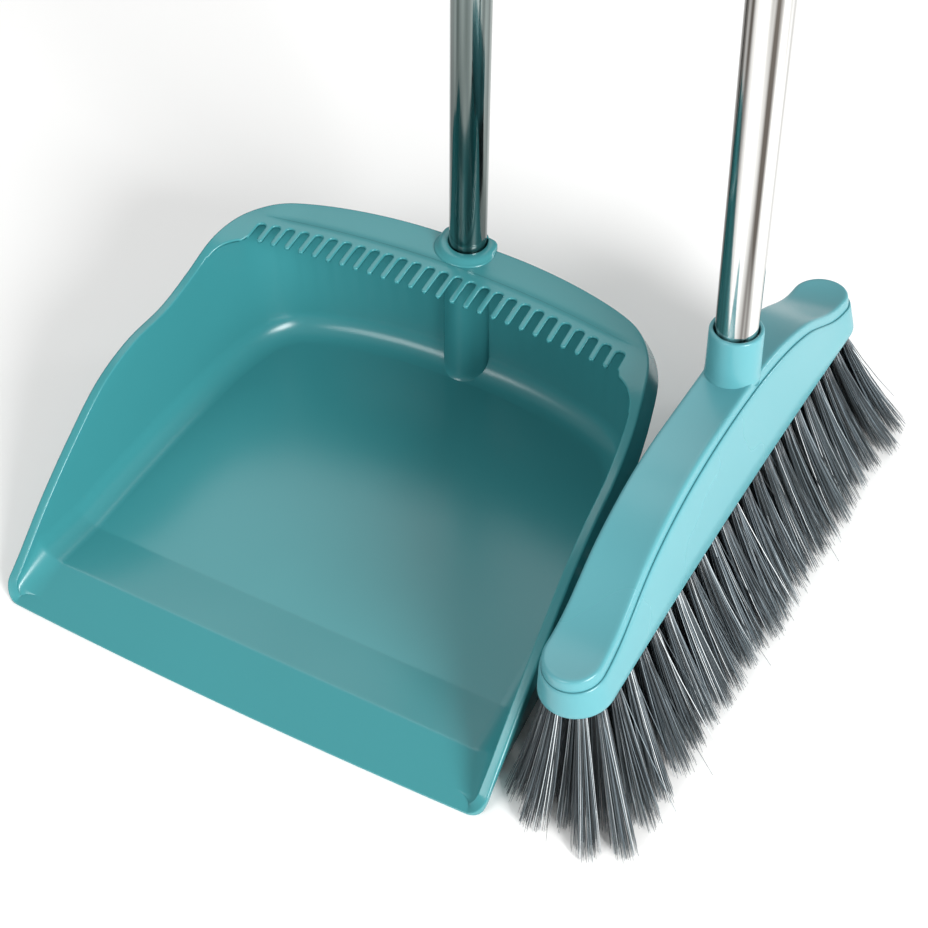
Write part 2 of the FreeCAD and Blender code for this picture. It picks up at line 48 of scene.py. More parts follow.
HEAD_LENGTH = 324.5
HEAD_HALF_MID = 17.8
HEAD_HALF_END = 19.6
HEAD_ORIGIN = Vector((187.5, 52.7, 74.3))
HEAD_YAW = -4.5
HEAD_ROLL = -8.0
HEAD_STATIONS = (0.0, 0.3, 0.55, 0.8, 1.0)
BODY_HEIGHTS = (58.0, 54.5, 43.5, 22.0, 16.6)
COVER_HEIGHTS = (63.0, 61.0, 49.5, 28.6, 23.4)
SOCKET_OFFSET = 29.0
SOCKET_HEIGHT = 27.5
SOCKET_RADIUS = 13.9
COLLAR_SINK = 4.0
HANDLE_LEAN_X = -4.37
HANDLE_LEAN_Y = 4.48
PAN_LEAN = 1.9

TUFT_PITCH = 13.0
TUFT_ROWS = 5
ROW_SPACING = 5.9
END_MARGIN = 8.5
TUFT_RADIUS = 2.1
TUFT_DEPTH = 4.0
FILAMENTS = 120
FILAMENT_RADIUS = 0.26
FILAMENT_TAPER = (1.0, 1.0, 1.0, 0.85, 0.4)
TIP_SPREAD = 6.8
STRAY_SHARE = 0.03
SAG = 0.22
SPLAY = 17.0
SPLAY_OUTER = 23.0
SPLAY_INNER = 20.0
SPLAY_ALONG = 4.0
FLARE_REAR = 24.0
FLARE_FRONT = 42.0
TUFT_WANDER = 1.2
TIP_WANDER = 0.8
BOW_WANDER = 0.5
TRIM_UNEVEN = 1.8

# ------------------------------------------------------------------ materials


def linear(hex_colour):
    """sRGB hex to the linear colour a shader takes."""
    values = []
    for start in (1, 3, 5):
        value = int(hex_colour[start:start + 2], 16) / 255
        values.append(value / 12.92 if value <= 0.04045 else ((value + 0.055) / 1.055) ** 2.4)
    return (*values, 1.0)


def add(material, kind, settings=None, links=None):
    """A node with its settings, linked from other nodes' outputs."""
    node = material.node_tree.nodes.new(kind)
    for key, value in (settings or {}).items():
        if key in node.inputs:
            node.inputs[key].default_value = value
        else:
            setattr(node, key, value)
    for key, source in (links or {}).items():
        material.node_tree.links.new(source, node.inputs[key])
    return node


def blank(name):
    """A material with only its output node."""
    material = bpy.data.materials.new(name)
    material.use_nodes = True
    material.node_tree.nodes.clear()
    return material


def polypropylene(name, colour, shade, roughness):
    """Injection-moulded polypropylene: even colour, soft gloss, faint flow marks and a fine mould grain."""
    material = blank(name)
    place = add(material, "ShaderNodeTexCoord")
    # flow marks about 110 mm long
    flow = add(material, "ShaderNodeTexNoise", {"Scale": 9.0, "Detail": 2.0},
               {"Vector": place.outputs["Object"]})
    tint = add(material, "ShaderNodeMix", {"data_type": "RGBA"}, {"Factor": flow.outputs["Fac"]})
    tint.inputs["A"].default_value = linear(colour)
    tint.inputs["B"].default_value = linear(shade)
    # mould grain of about 0.6 mm
    grain = add(material, "ShaderNodeTexNoise", {"Scale": 1600.0, "Detail": 1.0},
                {"Vector": place.outputs["Object"]})
    bump = add(material, "ShaderNodeBump", {"Strength": 0.06, "Distance": 0.0002},
               {"Height": grain.outputs["Fac"]})
    gloss = add(material, "ShaderNodeMapRange", {"To Min": roughness - 0.04, "To Max": roughness + 0.06},
                {"Value": flow.outputs["Fac"]})
    shader = add(material, "ShaderNodeBsdfPrincipled", {"IOR": 1.49},
                 {"Base Color": tint.outputs["Result"], "Roughness": gloss.outputs["Result"],
                  "Normal": bump.outputs["Normal"]})
    add(material, "ShaderNodeOutputMaterial", {}, {"Surface": shader.outputs["BSDF"]})
    return material


def stainless(name, axis, painted_reflection_bands):
    """Polished stainless tube: mirror finish with drawing lines, and painted reflections as dark and bright
    bands along its axis.
    """
    material = blank(name)
    place = add(material, "ShaderNodeTexCoord")
    upright = add(material, "ShaderNodeMapping", {}, {"Vector": place.outputs["Object"]})
    upright.inputs["Rotation"].default_value = axis.rotation_difference(Vector((0, 0, 1))).to_euler()
    stretch = add(material, "ShaderNodeVectorMath", {"operation": "MULTIPLY"}, {0: upright.outputs["Vector"]})
    stretch.inputs[1].default_value = (1.0, 1.0, 0.012)
    # painted reflections: dark and bright bands about 6.7 mm wide round the tube, in the base colour
    painted_reflection_noise = add(material, "ShaderNodeTexNoise", {"Scale": 150.0, "Detail": 2.0, "Roughness": 0.6},
               {"Vector": stretch.outputs["Vector"]})
    ramp = add(material, "ShaderNodeValToRGB", {}, {"Fac": painted_reflection_noise.outputs["Fac"]})
    ramp.color_ramp.elements[0].position = 0.38
    ramp.color_ramp.elements[0].color = linear(painted_reflection_bands[0])
    ramp.color_ramp.elements[1].position = 0.62
    ramp.color_ramp.elements[1].color = linear(painted_reflection_bands[1])
    # drawing lines about 0.3 mm apart
    lines = add(material, "ShaderNodeTexNoise", {"Scale": 3000.0, "Detail": 2.0},
                {"Vector": stretch.outputs["Vector"]})
    rough = add(material, "ShaderNodeMapRange", {"To Min": 0.06, "To Max": 0.16},
                {"Value": lines.outputs["Fac"]})
    bump = add(material, "ShaderNodeBump", {"Strength": 0.02, "Distance": 0.0001},
               {"Height": lines.outputs["Fac"]})
    shader = add(material, "ShaderNodeBsdfPrincipled", {"Metallic": 1.0},
                 {"Base Color": ramp.outputs["Color"], "Roughness": rough.outputs["Result"],
                  "Normal": bump.outputs["Normal"]})
    add(material, "ShaderNodeOutputMaterial", {}, {"Surface": shader.outputs["BSDF"]})
    return material


def filament(name):
    """Extruded PET filament: dark grey, each strand a little lighter or darker at random, the near-white
    strands being painted highlights, with a waxy gloss.
    """
    material = blank(name)
    strand = add(material, "ShaderNodeNewGeometry")
    # random tone per strand; the near-white end of the ramp paints highlights on a few strands
    ramp = add(material, "ShaderNodeValToRGB", {}, {"Fac": strand.outputs["Random Per Island"]})
    ramp.color_ramp.elements[0].color = linear("#1b2124")
    ramp.color_ramp.elements[1].color = linear("#e4e9ea")
    for share, colour in ((0.5, "#3f494e"), (0.8, "#606c73"), (0.9, "#8e9ba1"), (0.96, "#c3cccf")):
        ramp.color_ramp.elements.new(share).color = linear(colour)
    shader = add(material, "ShaderNodeBsdfPrincipled", {"IOR": 1.57, "Roughness": 0.38},
                 {"Base Color": ramp.outputs["Color"]})
    add(material, "ShaderNodeOutputMaterial", {}, {"Surface": shader.outputs["BSDF"]})
    return material


def painted_floor(name):
    """Pale matt studio floor: even colour and no gloss."""
    material = blank(name)
    shader = add(material, "ShaderNodeBsdfPrincipled", {"Base Color": linear("#fafaf9"), "Roughness": 0.85})
    add(material, "ShaderNodeOutputMaterial", {}, {"Surface": shader.outputs["BSDF"]})
    return material


PAN_PLASTIC = polypropylene("moulded_pp_teal", "#3b888d", "#378287", 0.24)
HEAD_PLASTIC = polypropylene("moulded_pp_light_teal", "#5799a1", "#52939b", 0.26)
PLUG_PLASTIC = polypropylene("moulded_pp_grey", "#4b5052", "#44494b", 0.5)
BROOM_AXIS = Vector((math.tan(math.radians(HANDLE_LEAN_X)), math.tan(math.radians(HANDLE_LEAN_Y)), 1))
PAN_AXIS = Vector((0, math.tan(math.radians(PAN_LEAN)), 1))
# each tube's two colours are its painted reflection bands, dark and bright
PAN_STEEL = stainless("polished_stainless_pan", PAN_AXIS, ("#4c5654", "#9aa5a3"))
BROOM_STEEL = stainless("polished_stainless_broom", BROOM_AXIS, ("#59544f", "#eeedeb"))
ANCHOR_STEEL = stainless("drawn_wire", BROOM_AXIS, ("#8c8f90", "#b8bbbc"))
BRISTLE = filament("pet_filament_dark")
FLOOR_PAINT = painted_floor("studio_floor")

# ------------------------------------------------------------------ mesh helpers


def make_mesh(name, points, faces, material):
    """A smooth-shaded mesh object from points in mm."""
    data = bpy.data.meshes.new(name)
    data.from_pydata([(x * MM, y * MM, z * MM) for x, y, z in points], [], faces)
    data.materials.append(material)
    work = bmesh.new()
    work.from_mesh(data)
    bmesh.ops.remove_doubles(work, verts=work.verts, dist=0.004 * MM)
    bmesh.ops.recalc_face_normals(work, faces=work.faces)
    work.to_mesh(data)
    work.free()
    for polygon in data.polygons:
        polygon.use_smooth = True
    made = bpy.data.objects.new(name, data)
    SCENE.collection.objects.link(made)
    return made


def apply_modifiers(made):
    """The mesh as its modifiers leave it."""
    graph = bpy.context.evaluated_depsgraph_get()
    final = bpy.data.meshes.new_from_object(made.evaluated_get(graph))
    made.modifiers.clear()
    made.data = final
    return made


def spline(values, stations, where):
    """Smooth even curve through values at stations from 0 to 1, level at 0."""
    count = len(values)
    slopes = []
    for i in range(count):
        if i == 0:
            slopes.append(0.0)
        elif i == count - 1:
            slopes.append((values[i] - values[i - 1]) / (stations[i] - stations[i - 1]) * 0.6)
        else:
            slopes.append((values[i + 1] - values[i - 1]) / (stations[i + 1] - stations[i - 1]))
    where = min(max(abs(where), 0.0), 1.0)
    i = 0
    while i < count - 2 and where > stations[i + 1]:
        i += 1
    width = stations[i + 1] - stations[i]
    t = (where - stations[i]) / width
    a = 2 * t ** 3 - 3 * t ** 2 + 1
    b = t ** 3 - 2 * t ** 2 + t
    c = -2 * t ** 3 + 3 * t ** 2
    d = t ** 3 - t ** 2
    return a * values[i] + b * width * slopes[i] + c * values[i + 1] + d * width * slopes[i + 1]


# ------------------------------------------------------------------ broom head

HEAD_TURN = Matrix.Rotation(math.radians(HEAD_YAW), 3, "Z") @ Matrix.Rotation(math.radians(HEAD_ROLL), 3, "Y")


def head_point(x, y, z):
    """From the head's own frame to the row frame, in mm."""
    return HEAD_ORIGIN + HEAD_TURN @ Vector((x, y, z))


HANDLE_AXIS = BROOM_AXIS.normalized()


def body_height(y):
    """Top of the housing above the tuft plate."""
    return spline(BODY_HEIGHTS, HEAD_STATIONS, 2 * y / HEAD_LENGTH)


def cover_height(y):
    """Top of the cover above the tuft plate."""
    return spline(COVER_HEIGHTS, HEAD_STATIONS, 2 * y / HEAD_LENGTH)


def head_loop(inset, side=56, end=14):
    """Plan of the head, inset from its foot: points come in left and right pairs of equal y."""
    straight = HEAD_LENGTH / 2 - HEAD_HALF_END
    right = []
    for i in range(end + 1):
        angle = -math.pi / 2 + (math.pi / 2) * i / end
        radius = HEAD_HALF_END - inset
        right.append((radius * math.cos(angle), -straight + radius * math.sin(angle)))
    for i in range(1, side):
        y = -straight + 2 * straight * i / side
        half = HEAD_HALF_MID + (HEAD_HALF_END - HEAD_HALF_MID) * (y / straight) ** 2 - inset
        right.append((half, y))
    for i in range(end + 1):
        angle = (math.pi / 2) * i / end
        radius = HEAD_HALF_END - inset
        right.append((radius * math.cos(angle), straight + radius * math.sin(angle)))
    left = [(-x, y) for x, y in reversed(right[1:-1])]
    return right + left


def loop_stack(name, levels, material):
    """A closed solid from plan loops: each level is (inset, height as a function of y)."""
    points = []
    faces = []
    rings = []
    for inset, height in levels:
        ring = []
        for x, y in head_loop(inset):
            ring.append(len(points))
            points.append(head_point(x, y, height(y)))
        rings.append(ring)
    count = len(rings[0])
    for low, high in zip(rings, rings[1:]):
        for i in range(count):
            j = (i + 1) % count
            faces.append((low[i], low[j], high[j], high[i]))
    half = count // 2
    for ring in (rings[0], rings[-1]):
        for i in range(half):
            a, b = ring[i], ring[i + 1]
            c, d = ring[-i - 1] if i + 1 < half else ring[half], ring[-i] if i else ring[0]
            face = [a, b]
            if c != b:
                face.append(c)
            if d != a and d != c:
                face.append(d)
            faces.append(tuple(face))
    return make_mesh(name, points, faces, material)


def body_levels():
    """(inset, height) rings up the side of the housing and over its edge."""
    levels = [(6.0, lambda y: 0.0), (1.1, lambda y: 0.0), (0.35, lambda y: 0.3), (0.0, lambda y: 1.1)]
    for share in (0.2, 0.4, 0.6, 0.8, 0.93):
        levels.append((share * 2.2, lambda y, share=share: 1.1 + (body_height(y) - 2.2) * share))
    levels.append((2.35, lambda y: body_height(y) - 0.8))
    levels.append((2.6, lambda y: body_height(y) - 0.25))
    levels.append((3.0, lambda y: body_height(y)))
    levels.append((3.5, lambda y: body_height(y) - 0.1))
    levels.append((3.9, lambda y: body_height(y) - 1.2))
    levels.append((5.5, lambda y: body_height(y) - 1.4))
    return levels


def cover_levels():
    """(inset, height) rings up the cover: short side, rounded edge, and a shallow dished top."""
    levels = [(6.0, lambda y: body_height(y) - 1.3), (3.75, lambda y: body_height(y) - 1.0)]
    levels.append((3.55, lambda y: body_height(y) + 0.2))
    levels.append((3.6, lambda y: body_height(y) + 1.0))
    for angle in (0, 18, 36, 54, 72, 90):
        turn = math.radians(angle)
        levels.append((3.9 + 1.9 * (1 - math.cos(turn)) + 0.1,
                       lambda y, turn=turn: cover_height(y) - 1.7 * (1 - math.sin(turn))))
    levels.append((7.6, lambda y: cover_height(y) - 0.12))
    levels.append((10.2, lambda y: cover_height(y) - 0.3))
    return levels


def make_head():
    """Housing, cover and socket collar."""
    base = loop_stack("broom_head_housing", body_levels(), HEAD_PLASTIC)
    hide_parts("head_base")
    cover = loop_stack("broom_head_cover", cover_levels(), HEAD_PLASTIC)
    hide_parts("head_cover")
    collar = make_collar()
    for piece in (base, cover, collar):
        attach(piece, "broom")


def turned(name, profile, foot, axis, material, steps=72):
    """A closed ring-shaped solid: profile is (radius, height) points round its section."""
    turn = Vector((0, 0, 1)).rotation_difference(axis).to_matrix()
    points = []
    faces = []
    count = len(profile)
    for i in range(steps):
        angle = 2 * math.pi * i / steps
        for radius, height in profile:
            local = Vector((radius * math.cos(angle), radius * math.sin(angle), height))
            points.append(foot + turn @ local)
    for i in range(steps):
        j = (i + 1) % steps
        for k in range(count):
            m = (k + 1) % count
            faces.append((i * count + k, j * count + k, j * count + m, i * count + m))
    return make_mesh(name, points, faces, material)


def arc(centre, radius, start, end, count):
    """Points of a rounded edge in a section."""
    made = []
    for i in range(count + 1):
        angle = math.radians(start + (end - start) * i / count)
        made.append((centre[0] + radius * math.cos(angle), centre[1] + radius * math.sin(angle)))
    return made


def make_collar():
    """Socket collar on the cover: a little wider at its foot, rounded mouth, stepped bore."""
    crown = head_point(0, SOCKET_OFFSET, cover_height(SOCKET_OFFSET))
    foot = crown - HANDLE_AXIS * COLLAR_SINK
    top = SOCKET_HEIGHT + COLLAR_SINK
    profile = [(14.6, 0.0), (14.6, 3.2)]
    profile += arc((16.2, 5.4), 1.9, 200, 180, 2)
    profile += [(14.25, 7.5), (14.0, top - 3.0)]
    profile += arc((SOCKET_RADIUS - 1.2, top - 1.2), 1.2, 0, 90, 5)
    profile += arc((12.2, top - 0.5), 0.5, 90, 180, 3)
    profile += [(11.6, top - 3.0), (11.3, 6.0), (11.3, 0.0)]
    return turned("broom_socket_collar", profile, foot, HANDLE_AXIS, HEAD_PLASTIC)


# ------------------------------------------------------------------ bristles


def tuft_roots(row):
    """Centre of every tuft of a row on the underside of the head."""
    x = (row - (TUFT_ROWS - 1) / 2) * ROW_SPACING
    reach = HEAD_LENGTH / 2 - END_MARGIN - abs(x) * 0.5
    stagger = 0.5 if row % 2 else 0.0
    count = int(reach / TUFT_PITCH - stagger)
    first = -count - (1 if stagger else 0)
    return [(x, (index + stagger) * TUFT_PITCH) for index in range(first, count + 1)]


def tuft_tip(x, y):
    """Where a tuft meets the floor: pressed out to the right, held in by the pan on the left."""
    along = 2 * y / HEAD_LENGTH
    side = HEAD_TURN @ Vector((1, 0, 0))
    side.z = 0
    side.normalize()
    length = HEAD_TURN @ Vector((0, 1, 0))
    across = x / (2 * ROW_SPACING)
    splay = SPLAY + SPLAY_INNER * across
    if across > 0:
        splay = SPLAY + SPLAY_OUTER * across + SPLAY_ALONG * along
    flare = FLARE_REAR if along > 0 else FLARE_FRONT
    tip = head_point(x, y, 0) + side * splay + length * (flare * along ** 3)
    tip.z = 0
    return tip


def add_filament(points, faces, path):
    """A thin four-sided strand along a path, finer at its tip."""
    rings = []
    for index, (centre, taper) in enumerate(zip(path, FILAMENT_TAPER)):
        radius = FILAMENT_RADIUS * taper
        ahead = path[min(index + 1, len(path) - 1)] - path[max(index - 1, 0)]
        side = ahead.cross(Vector((0.3, 1.0, 0.1))).normalized()
        other = ahead.cross(side).normalized()
        ring = []
        for k in range(4):
            angle = math.pi / 2 * k
            ring.append(len(points))
            points.append(centre + (side * math.cos(angle) + other * math.sin(angle)) * radius)
        rings.append(ring)
    for low, high in zip(rings, rings[1:]):
        for k in range(4):
            m = (k + 1) % 4
            faces.append((low[k], low[m], high[m], high[k]))
    faces.append(tuple(reversed(rings[0])))
    faces.append(tuple(rings[-1]))


def make_bristles():
    """Rows of tufts, each a bundle of nearly straight filaments that spread towards the tips."""
    dice = random.Random(7)
    up = HEAD_TURN @ Vector((0, 0, 1))
    for row in range(TUFT_ROWS):
        points = []
        faces = []
        for x, y in tuft_roots(row):
            tip = tuft_tip(x, y)
            lean = Vector((dice.gauss(0, TUFT_WANDER), dice.gauss(0, TUFT_WANDER), 0))
            spread = TIP_SPREAD * dice.uniform(0.85, 1.15)
            for _ in range(FILAMENTS):
                angle = dice.uniform(0, 2 * math.pi)
                out = math.sqrt(dice.random())
                offset = Vector((math.cos(angle), math.sin(angle), 0)) * out
                start = head_point(x, y, TUFT_DEPTH) + HEAD_TURN @ (offset * TUFT_RADIUS)
                end = tip + lean + offset * spread
                end += Vector((dice.gauss(0, TIP_WANDER), dice.gauss(0, TIP_WANDER), 0))
                end.z = FILAMENT_RADIUS + abs(dice.gauss(0, TRIM_UNEVEN))
                if dice.random() < STRAY_SHARE:
                    end += Vector((dice.gauss(2, 5), dice.gauss(0, 6), 2 + 6 * dice.random()))
                middle = start.lerp(end, 0.5).lerp(start - up * (start - end).length * 0.5, SAG)
                middle += Vector((dice.gauss(0, BOW_WANDER), dice.gauss(0, BOW_WANDER), 0))
                path = []
                for step in range(len(FILAMENT_TAPER)):
                    t = step / (len(FILAMENT_TAPER) - 1)
                    path.append(start * (1 - t) ** 2 + middle * (2 * t * (1 - t)) + end * t ** 2)
                add_filament(points, faces, path)
        name = "bristle_row_%d" % (row + 1)
        piece = make_mesh(name + "_filaments", points, faces, BRISTLE)
        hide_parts(name)
        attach(piece, "broom")


# ------------------------------------------------------------------ dust pan, where y runs from the lip

PAN_SHIFT = 140.0
SHELF_THICK = 3.2
COMB_THICK = 1.9
FLOOR_TOP = 4.0
STRIP_WIDTH = 5.7
FLOOR_FILLET = 15.0
LIP_FILLET = 2.0
LIP_HALF = 150.0
LIP_BOW = 2.7
LIP_EDGE = 1.0
CORNER_RADIUS = 9.0
RIDGE_Y = 30.5
RIDGE_TOP = 9.0
RAMP_END = 63.0
SHELF_START = 204.0
CREASE_DROP = 1.0
SKIRT_FLARE = 5.6
SKIRT_LIP = 5.0
SKIRT_REAR = 13.0
INNER_CORNER = (111.0, 200.6)
INNER_RADIUS = 23.0
INNER_START = 12
INNER_SWEEP = 54
PLAN = ((150, -60), (150, 0), (149, 60), (147, 120), (143.5, 172), (139, 210), (130.5, 240), (114, 260),
        (88, 271), (46, 279), (0, 281), (-46, 279))
RIM_SIDE = ((-30, -14), (-6, 1.2), (18, 18.5), (46, 40), (78, 61), (108, 77.5), (137, 84.5), (168, 85.1),
            (194, 92), (215, 101), (234, 104), (262, 104), (290, 104))
COMB_SLOTS = 27
COMB_PITCH = 8.84
SLOT_HALF = 2.7
TOOTH_HALF = COMB_PITCH / 2 - SLOT_HALF
COMB_HALF = 119.0
TOOTH_TIPS = (223.6, 6.8)
SLOT_ROOTS = (237.0, 13.0)
CREASE_BEHIND = 6.0
CREASE_WIDTH = 1.8
SLOT_DEPTH = 9.2
SLOT_MIDDLE = 4.0
COMB_FRONT = 226.2
COMB_EDGE = 0.85
TOP_PARTS = 4
RIM_ROUND_IN = 0.8
RIM_ROUND_OUT = 1.7


def curve_through(points, steps):
    """Smooth curve from the second point to the last but one."""
    made = []
    for a, b, c, d in zip(points, points[1:], points[2:], points[3:]):
        start, end = Vector(b), Vector(c)
        span = (end - start).length
        before = (end - Vector(a)) * (span / (span + (start - Vector(a)).length))
        after = (Vector(d) - start) * (span / (span + (Vector(d) - end).length))
        for i in range(steps):
            t = i / steps
            made.append(start * (2 * t ** 3 - 3 * t ** 2 + 1) + before * (t ** 3 - 2 * t ** 2 + t)
                        + end * (3 * t ** 2 - 2 * t ** 3) + after * (t ** 3 - t ** 2))
    made.append(Vector(points[-2]))
    return made


def height_on(line, y):
    """Second coordinate of a line at a first coordinate, between its close points."""
    for a, b in zip(line, line[1:]):
        if y <= b[0]:
            return a[1] + (b[1] - a[1]) * max(0.0, (y - a[0]) / (b[0] - a[0]))
    return line[-1][1]


def ease(value):
    """Soft step from 0 to 1."""
    value = min(max(value, 0.0), 1.0)
    return value * value * (3 - 2 * value)


PLAN_LINE = curve_through(PLAN, 24)
SIDE_LINE = [(p.y, p.x) for p in PLAN_LINE]
REAR_LINE = [(-p.x, p.y) for p in PLAN_LINE]
RIM_LINE = curve_through(RIM_SIDE, 12)


def comb_line(side, bow, x):
    """A line along the comb: its y at the sides, and how much it bows back in the middle."""
    return side + bow * (1 - (x / COMB_HALF) ** 2)


def slot_tip(x):
    """Where the teeth's rounded tips start."""
    return comb_line(*TOOTH_TIPS, x)


def slot_root(x):
    """Where the slots end."""
    return comb_line(*SLOT_ROOTS, x)


def rim_height(x, y):
    """Top of the rim and the shelf: the shelf drops a little behind its crease."""
    behind = ease((y - slot_root(x) - CREASE_BEHIND) / CREASE_WIDTH) * ease((COMB_HALF + 2 - abs(x)) / 22)
    return height_on(RIM_LINE, y) - CREASE_DROP * behind


def floor_height(y):
    """Inside floor: rising from the lip to the ridge, down the ramp behind it, then level."""
    if y > RAMP_END:
        return FLOOR_TOP
    if y > RIDGE_Y:
        return RIDGE_TOP + (FLOOR_TOP - RIDGE_TOP) * (y - RIDGE_Y) / (RAMP_END - RIDGE_Y)
    return LIP_EDGE + (RIDGE_TOP - LIP_EDGE) * (y + LIP_BOW) / (RIDGE_Y + LIP_BOW)


def rim_stations():
    """(x, y, inward, fillet reach, share of the full rim) round the right half, from rear to lip."""
    stations = []
    rear = [p for p in PLAN_LINE if p.y > SHELF_START - 0.5]
    rear.reverse()
    for i in range(0, len(rear) - 1, 3):
        ahead = rear[min(i + 1, len(rear) - 1)] - rear[max(i - 1, 0)]
        inward = Vector((0, -1)) if i == 0 else Vector((ahead.y, -ahead.x)).normalized()
        stations.append((rear[i].x, rear[i].y, inward, FLOOR_FILLET, 1.0))
    rows = [SHELF_START - 3.0 * i for i in range(1, 46)]
    # close together at the foot of the ramp and at the ridge, which stay crisp
    rows += [66.5, 64.5, RAMP_END + 0.4, RAMP_END - 0.4, 61.5, 58, 53, 48, 43, 38, 34, 32]
    rows += [RIDGE_Y + 0.4, RIDGE_Y - 0.4, 29.2, 27, 23, 19, 15.5, 12]
    for y in rows:
        stations.append((height_on(SIDE_LINE, y), y, Vector((-1, 0)), FLOOR_FILLET, 1.0))
    centre = Vector((LIP_HALF - CORNER_RADIUS, CORNER_RADIUS - 0.3))
    side_foot = Vector((LIP_HALF - STRIP_WIDTH - FLOOR_FILLET, centre.y))
    lip_foot = Vector((centre.x, STRIP_WIDTH + LIP_FILLET - 0.3))
    for i in range(11):
        turn = math.pi / 2 * i / 10
        place = centre + Vector((math.cos(turn), -math.sin(turn))) * CORNER_RADIUS
        way = side_foot.lerp(lip_foot, i / 10) - place
        share = 1 - ease((i - 0.5) / 10.5)
        stations.append((place.x, place.y, way.normalized(), way.length - STRIP_WIDTH, share))
    for x in (137.5, 133, 127, 119, 108, 94, 78, 60, 40, 20, 0):
        stations.append((x, -LIP_BOW * (1 - (x / LIP_HALF) ** 2), Vector((0, 1)), LIP_FILLET, 0.0))
    return stations


def rim_section(x, y, inward, reach, share):
    """Section of the wall: floor fillet, inner wall, rounded rim, skirt, outer wall and underside."""
    def ground(depth):
        """Floor below a point of the section."""
        return floor_height(y + inward.y * depth)

    def top(depth):
        """Rim above a point of the section."""
        low = ground(depth)
        return low + share * (rim_height(x + inward.x * depth, y) - low)

    rise = max(top(STRIP_WIDTH) - ground(STRIP_WIDTH), 0.0)
    lift = min(FLOOR_FILLET, 0.72 * rise)
    section = []
    for i in range(8):
        turn = math.pi / 2 * i / 7
        depth = STRIP_WIDTH + reach * (1 - math.sin(turn))
        section.append((depth, ground(depth) + lift * (1 - math.cos(turn))))
    inner = min(RIM_ROUND_IN, 0.02 + 0.06 * rise)
    outer = min(RIM_ROUND_OUT, 0.35 + 0.1 * rise)
    section.append((STRIP_WIDTH, top(STRIP_WIDTH) - min(SHELF_THICK, 0.2 * rise)))
    for turn in (0, 30, 60, 90):
        depth = STRIP_WIDTH - inner * (1 - math.cos(math.radians(turn)))
        section.append((depth, top(depth) - inner * (1 - math.sin(math.radians(turn)))))
    section.append(((STRIP_WIDTH + outer) / 2, top((STRIP_WIDTH + outer) / 2)))
    for turn in (0, 22.5, 45, 67.5, 90):
        depth = outer * (1 - math.sin(math.radians(turn)))
        section.append((depth, top(depth) - outer * (1 - math.cos(math.radians(turn)))))
    edge = top(0.0)
    # the skirt deepens and flares out from the lip to the rear
    grown = ease((y - 15) / 135)
    flare = SKIRT_FLARE * grown
    skirt = edge - min(SKIRT_LIP + (SKIRT_REAR - SKIRT_LIP) * grown, 0.6 * edge)
    full = share * ease((edge - 3) / 7)
    walled = ((-flare, skirt), (0.3 - flare, skirt - 0.35), (1.2 - flare, skirt - 0.35), (1.5 - flare, skirt),
              (1.5, edge - 2.8), (3.3, edge - 2.8), (3.4, 2.6), (4.0, 0.7), (5.4, 0.0))
    flat = ((0.05, 0.45), (0.25, 0.1), (1.0, 0.0), (1.7, 0.0), (2.4, 0.0), (3.2, 0.0), (3.9, 0.0), (4.6, 0.0),
            (5.4, 0.0))
    for (depth, high), (flat_depth, flat_high) in zip(walled, flat):
        section.append((depth * full + flat_depth * (1 - full), high * full + flat_high * (1 - full)))
    section.append((STRIP_WIDTH + reach, 0.0))
    return [(x + inward.x * depth, y + inward.y * depth, high) for depth, high in section]


# places in a wall's section: top of the inner wall, inner edge and outer edge of the rim's flat strip
WALL_TOP = 8
STRIP_INNER = 12
STRIP_OUTER = 14


def comb_path():
    """The shelf's front edge from right to left: (x, y, direction into the plastic)."""
    corner = Vector(INNER_CORNER)
    half = []
    start_x = height_on(SIDE_LINE, SHELF_START) - STRIP_WIDTH
    half.append((start_x, SHELF_START, Vector((1, 0))))
    for i in range(13):
        turn = math.radians(INNER_START + INNER_SWEEP * i / 12)
        out = Vector((math.cos(turn), math.sin(turn)))
        place = corner + out * INNER_RADIUS
        half.append((place.x, place.y, out))
    last = (COMB_SLOTS - 1) / 2 * COMB_PITCH
    half.append((last + SLOT_HALF + 1.2, 224.9, Vector((0.3, 1)).normalized()))
    half.append((last + SLOT_HALF + 0.35, 225.4, Vector((0.75, 0.66)).normalized()))
    path = list(half)
    for index in range(COMB_SLOTS):
        x = last - index * COMB_PITCH
        root = slot_root(x) - SLOT_HALF
        path.append((x + SLOT_HALF, root - SLOT_DEPTH if index else COMB_FRONT, Vector((1, 0))))
        path.append((x + SLOT_HALF, root - SLOT_MIDDLE, Vector((1, 0))))
        for i in range(9):
            out = Vector((math.cos(math.pi * i / 8), math.sin(math.pi * i / 8)))
            path.append((x + SLOT_HALF * out.x, root + SLOT_HALF * out.y, out))
        path.append((x - SLOT_HALF, root - SLOT_MIDDLE, Vector((-1, 0))))
        if index == COMB_SLOTS - 1:
            path.append((x - SLOT_HALF, COMB_FRONT, Vector((-1, 0))))
            break
        path.append((x - SLOT_HALF, root - SLOT_DEPTH, Vector((-1, 0))))
        middle = x - COMB_PITCH / 2
        tip = slot_tip(middle) + TOOTH_HALF
        for i in range(7):
            out = Vector((math.cos(math.pi * i / 6), -math.sin(math.pi * i / 6)))
            path.append((middle + TOOTH_HALF * out.x, tip + TOOTH_HALF * out.y, -out))
    path += [(-x, y, Vector((-out.x, out.y))) for x, y, out in reversed(half)]
    return path


def fill(points, loop, extra, height, faces):
    """Triangles inside a loop of point numbers, with extra places on the surface between."""
    flat = [Vector(points[i][:2]) for i in loop] + [Vector(place) for place in extra]
    made = delaunay_2d_cdt(flat, [], [list(range(len(loop)))], 1, 1e-5)
    numbers = []
    for place, sources in zip(made[0], made[3]):
        known = [s for s in sources if s < len(loop)]
        if known:
            numbers.append(loop[known[0]])
        else:
            numbers.append(len(points))
            points.append((place.x, place.y, height(place.x, place.y)))
    for face in made[2]:
        faces.append(tuple(numbers[i] for i in face))


